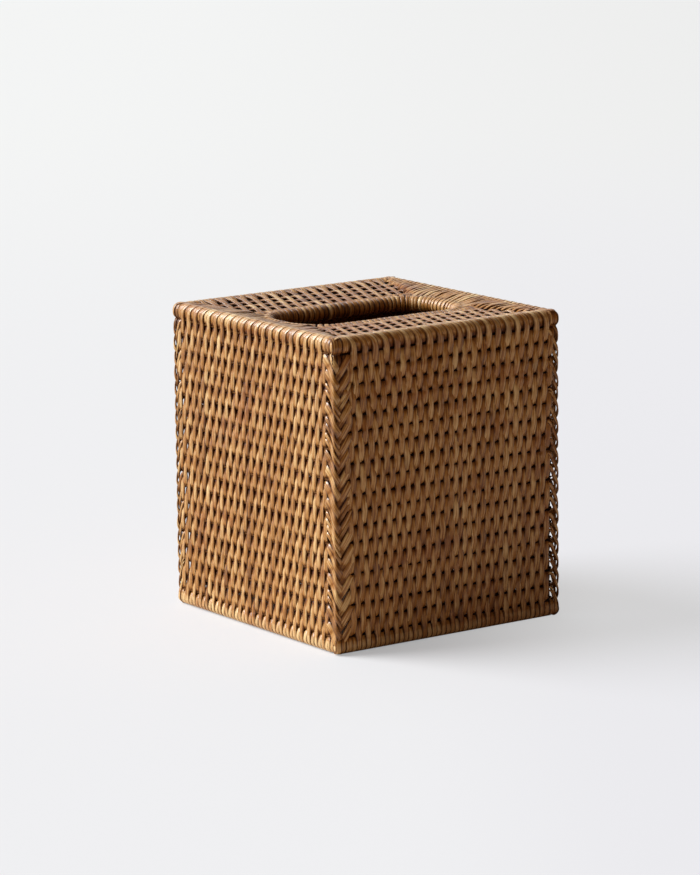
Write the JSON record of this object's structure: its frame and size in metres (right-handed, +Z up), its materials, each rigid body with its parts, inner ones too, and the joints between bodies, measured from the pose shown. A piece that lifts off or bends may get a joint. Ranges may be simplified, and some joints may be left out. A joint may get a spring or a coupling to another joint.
{
  "type": "tissue box cover",
  "caption": "Upright woven rattan cover for a cube of tissues, with an open base and a long round-ended opening in its top, ringed by a wrapped rod.",
  "frame": {"origin": "middle of the open base, on the surface that the cover stands on", "axes": "+Z up, X along the opening in the top, the front face towards -Y"},
  "size_m": [0.128, 0.1318, 0.145],
  "materials": {
    "wall_weave": "glossy honey-brown rattan peel, fine grain along each strand",
    "top_weave": "honey-brown rattan peel with a greyish sheen",
    "corner_plait": "glossy honey-brown rattan peel",
    "ring_wrap": "rattan peel strips, from pale tan to dark brown",
    "cane_rod": "matt stained rattan core"
  },
  "bodies": {
    "root": {"base_rod_front": "cane_rod", "base_rod_back": "cane_rod", "base_rod_left": "cane_rod", "base_rod_right": "cane_rod", "top_rod_front": "cane_rod", "top_rod_back": "cane_rod", "top_rod_left": "cane_rod", "top_rod_right": "cane_rod", "opening_ring_rod": "cane_rod", "opening_ring_wrap": "ring_wrap", "front_wall_weave": "wall_weave", "back_wall_weave": "wall_weave", "left_wall_weave": "wall_weave", "right_wall_weave": "wall_weave", "front_top_weave": "top_weave", "back_top_weave": "top_weave", "left_top_fan": "top_weave", "right_top_fan": "top_weave", "corner_plait_front_left": "corner_plait", "corner_plait_front_right": "corner_plait", "corner_plait_back_left": "corner_plait", "corner_plait_back_right": "corner_plait", "base_corner_cap_front_left": "corner_plait", "base_corner_cap_front_right": "corner_plait", "base_corner_cap_back_left": "corner_plait", "base_corner_cap_back_right": "corner_plait", "top_corner_cap_front_left": "corner_plait", "top_corner_cap_front_right": "corner_plait", "top_corner_cap_back_left": "corner_plait", "top_corner_cap_back_right": "corner_plait"}
  },
  "joints": []
}
